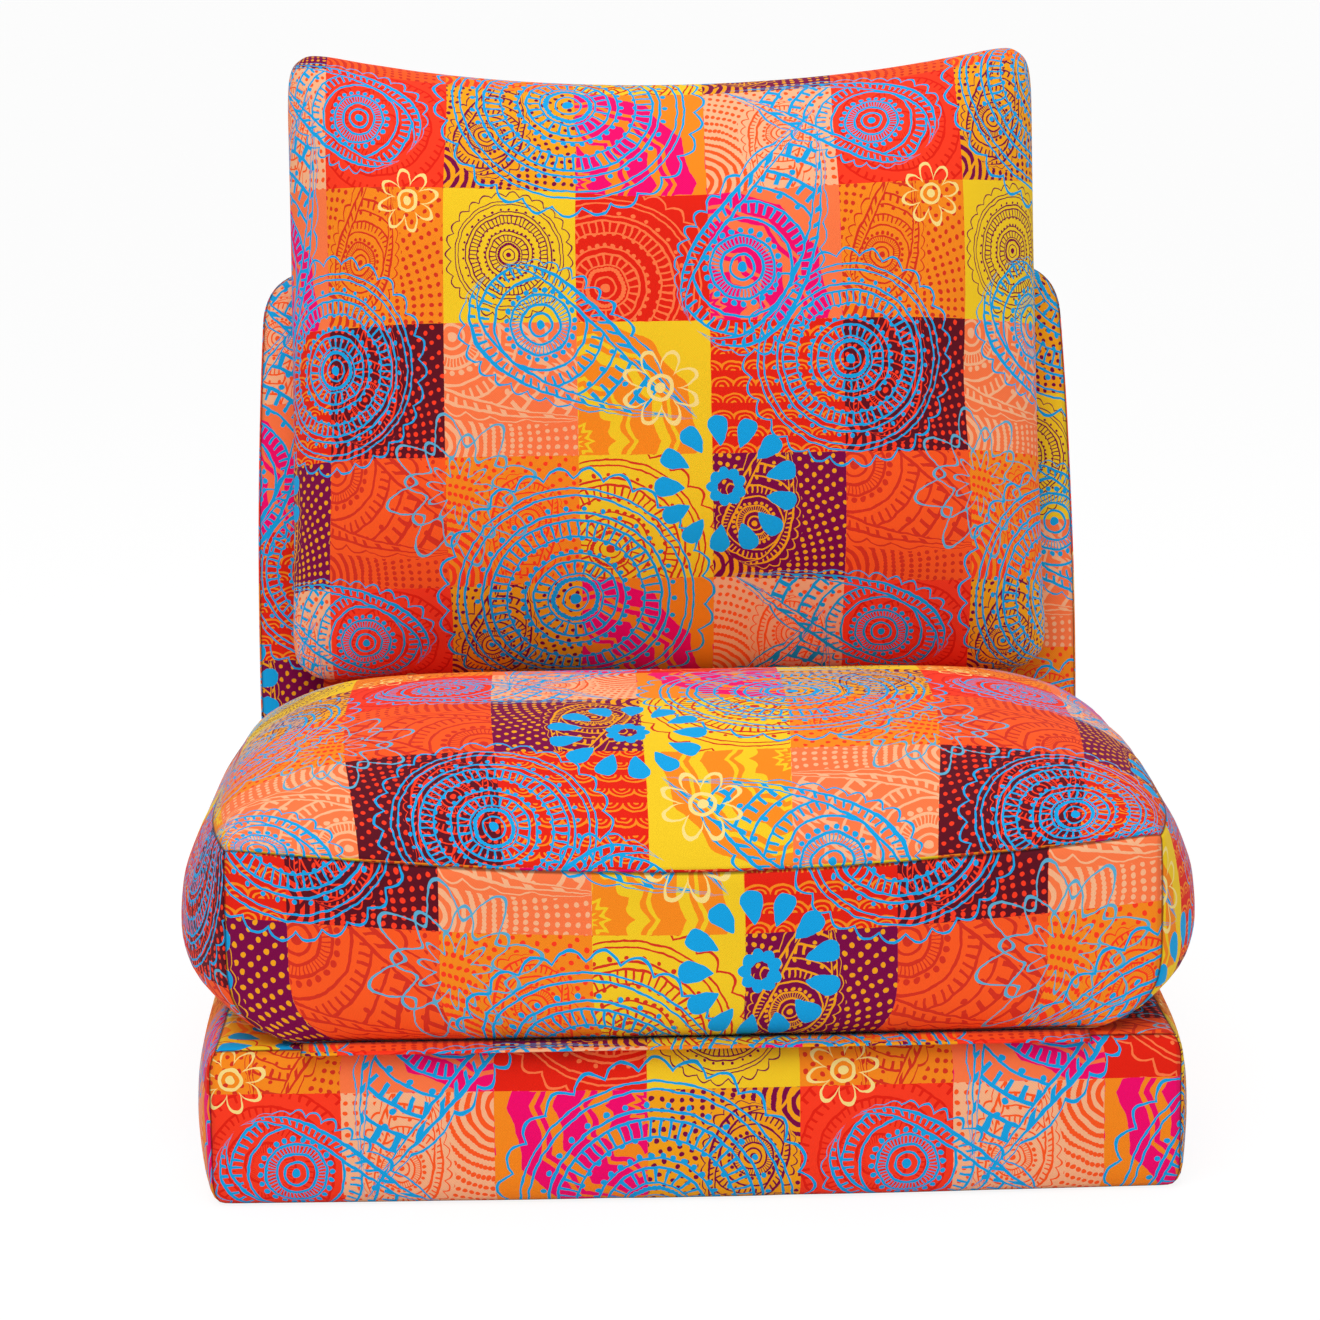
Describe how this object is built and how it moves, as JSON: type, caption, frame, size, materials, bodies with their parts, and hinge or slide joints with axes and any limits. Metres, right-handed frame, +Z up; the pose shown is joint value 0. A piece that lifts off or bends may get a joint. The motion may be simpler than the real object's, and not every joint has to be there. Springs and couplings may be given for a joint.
{
  "type": "convertible armchair bed",
  "caption": "Armless fold-out chair bed: base mattress that swings out from under a domed seat, ratchet reclining back and loose back pillow in patchwork print covers.",
  "frame": {"origin": "centre of the base mattress's underside, on the floor", "axes": "the front faces -Y, +X is to the right of someone who looks at the front, +Z is up"},
  "size_m": [0.8344, 0.8881, 0.8345],
  "materials": {
    "printed_cover": "matte",
    "foam": "matte",
    "fibre": "matte",
    "webbing": "matte",
    "tape": "matte",
    "zip_nylon": "satin",
    "slider_zinc": "satin",
    "frame_steel": "satin",
    "plated_steel": "satin"
  },
  "bodies": {
    "seat": {"seat_cover": "printed_cover", "seat_foam_lower": "foam", "seat_foam_upper": "foam", "seat_fibre_topper": "fibre", "seat_frame": "frame_steel", "seat_webbing": "webbing", "seat_zip": "zip_nylon", "hinge_cheeks_left": "plated_steel", "hinge_cheeks_right": "plated_steel", "pivot_rivet_left": "plated_steel", "pivot_rivet_right": "plated_steel", "cheek_rivets": "plated_steel", "pawl_spring_left": "plated_steel", "pawl_spring_right": "plated_steel", "front_hinge_tape": "tape"},
    "base": {"base_cover": "printed_cover", "base_foam": "foam", "base_zip": "zip_nylon"},
    "back": {"back_cover": "printed_cover", "back_foam_front": "foam", "back_foam_rear": "foam", "back_frame": "frame_steel", "back_frame_rivets": "plated_steel", "back_webbing": "webbing", "back_zip": "zip_nylon", "ratchet_sector_left": "plated_steel", "ratchet_sector_right": "plated_steel"},
    "pillow": {"pillow_cover": "printed_cover", "pillow_filling": "fibre", "pillow_zip": "zip_nylon"},
    "pawl_left": {"pawl_left": "plated_steel"},
    "pawl_right": {"pawl_right": "plated_steel"},
    "base_zip_slider": {"base_zip_slider": "slider_zinc"},
    "seat_zip_slider": {"seat_zip_slider": "slider_zinc"},
    "back_zip_slider": {"back_zip_slider": "slider_zinc"},
    "pillow_zip_slider": {"pillow_zip_slider": "slider_zinc"}
  },
  "joints": [
    {"name": "base_fold", "type": "hinge", "parent": "seat", "child": "base", "pos_m": [0, -0.3318, 0.127], "axis": [-1, 0, 0], "range_deg": [0, 180], "deforming": ["front_hinge_tape"]},
    {"name": "back_recline", "type": "hinge", "parent": "seat", "child": "back", "pos_m": [0, 0.382, 0.187], "axis": [-1, 0, 0], "range_deg": [0, 76]},
    {"name": "pillow_lift", "type": "slide", "parent": "back", "child": "pillow", "axis": [0, 0.2588, 0.9659], "range_m": [0, 0.6]},
    {"name": "base_zip_slider_run", "type": "slide", "parent": "base", "child": "base_zip_slider", "axis": [1, 0, 0], "range_m": [0, 0.601]},
    {"name": "seat_zip_slider_run", "type": "slide", "parent": "seat", "child": "seat_zip_slider", "axis": [1, 0, 0], "range_m": [0, 0.577]},
    {"name": "back_zip_slider_run", "type": "slide", "parent": "back", "child": "back_zip_slider", "axis": [1, 0, 0], "range_m": [0, 0.603]},
    {"name": "pillow_zip_slider_run", "type": "slide", "parent": "pillow", "child": "pillow_zip_slider", "axis": [1, 0, 0], "range_m": [0, 0.437]},
    {"name": "pawl_left_lift", "type": "hinge", "parent": "seat", "child": "pawl_left", "pos_m": [-0.296, 0.34211, 0.20219], "axis": [-1, 0, 0], "range_deg": [0, 14], "stiffness_Nm_per_rad": 0.05, "deforming": ["pawl_spring_left"]},
    {"name": "pawl_right_lift", "type": "hinge", "parent": "seat", "child": "pawl_right", "pos_m": [0.296, 0.34211, 0.20219], "axis": [-1, 0, 0], "range_deg": [0, 14], "stiffness_Nm_per_rad": 0.05, "deforming": ["pawl_spring_right"]}
  ]
}
